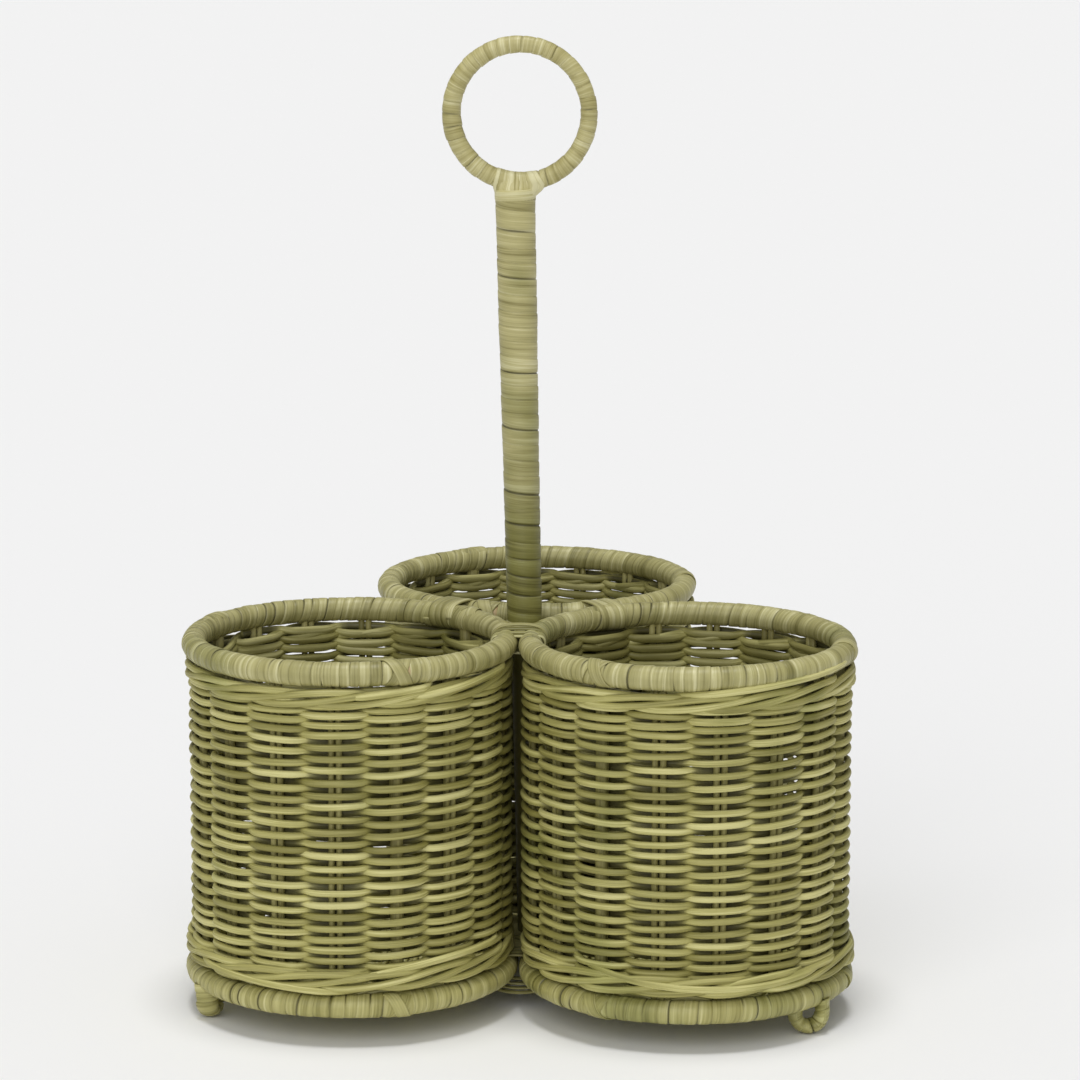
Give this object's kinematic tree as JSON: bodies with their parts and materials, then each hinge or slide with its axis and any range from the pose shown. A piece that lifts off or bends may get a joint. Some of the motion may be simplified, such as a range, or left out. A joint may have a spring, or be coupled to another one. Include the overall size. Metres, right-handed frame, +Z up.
{
  "type": "bottle caddy",
  "caption": "Woven rattan bottle caddy: round baskets tied together round a wrapped centre post with a ring handle on top",
  "frame": {"origin": "on the floor, under the middle of the outline seen from above; the post stands a little in front of it", "axes": "+Z up along the post; +Y towards the single back basket; the other baskets stand side by side at the front, -Y"},
  "size_m": [0.2262, 0.211, 0.3254],
  "materials": {
    "woven_reed": "round rattan reed, dyed sage green, dull",
    "waling_reed": "round rattan reed, dyed sage green, dull",
    "floor_reed": "round rattan reed, dyed sage green, dull",
    "stake_reed": "round rattan reed, dyed sage green, dull",
    "rim_peel": "split rattan peel, dyed sage green, faint satin",
    "base_peel": "split rattan peel, dyed sage green, faint satin",
    "foot_peel": "split rattan peel, dyed sage green, faint satin",
    "lashing_peel": "split rattan peel, dyed sage green, faint satin",
    "post_peel": "split rattan peel, dyed sage green, faint satin",
    "ring_peel": "split rattan peel, palest sage green, faint satin",
    "bent_cane": "bare rattan cane under the peel"
  },
  "bodies": {
    "root": {"back_base_hoop": "bent_cane", "back_rim_hoop": "bent_cane", "back_base_binding": "base_peel", "back_rim_binding": "rim_peel", "back_uprights": "stake_reed", "back_stakes": "stake_reed", "back_base_wale": "waling_reed", "back_woven_wall": "woven_reed", "back_top_wale": "waling_reed", "back_floor_spokes": "stake_reed", "back_floor_weave": "floor_reed", "back_foot": "foot_peel", "left_base_hoop": "bent_cane", "left_rim_hoop": "bent_cane", "left_base_binding": "base_peel", "left_rim_binding": "rim_peel", "left_uprights": "stake_reed", "left_stakes": "stake_reed", "left_base_wale": "waling_reed", "left_woven_wall": "woven_reed", "left_top_wale": "waling_reed", "left_floor_spokes": "stake_reed", "left_floor_weave": "floor_reed", "left_foot": "foot_peel", "right_base_hoop": "bent_cane", "right_rim_hoop": "bent_cane", "right_base_binding": "base_peel", "right_rim_binding": "rim_peel", "right_uprights": "stake_reed", "right_stakes": "stake_reed", "right_base_wale": "waling_reed", "right_woven_wall": "woven_reed", "right_top_wale": "waling_reed", "right_floor_spokes": "stake_reed", "right_floor_weave": "floor_reed", "right_foot": "foot_peel", "front_rim_lashing": "lashing_peel", "front_base_lashing": "lashing_peel", "right_rim_lashing": "lashing_peel", "right_base_lashing": "lashing_peel", "left_rim_lashing": "lashing_peel", "left_base_lashing": "lashing_peel", "post_rim_lashing": "lashing_peel", "post_base_lashing": "lashing_peel", "post_core": "bent_cane", "post_binding": "post_peel", "post_band": "post_peel", "neck_binding": "ring_peel", "handle_ring": "bent_cane", "handle_binding": "ring_peel"}
  },
  "joints": []
}
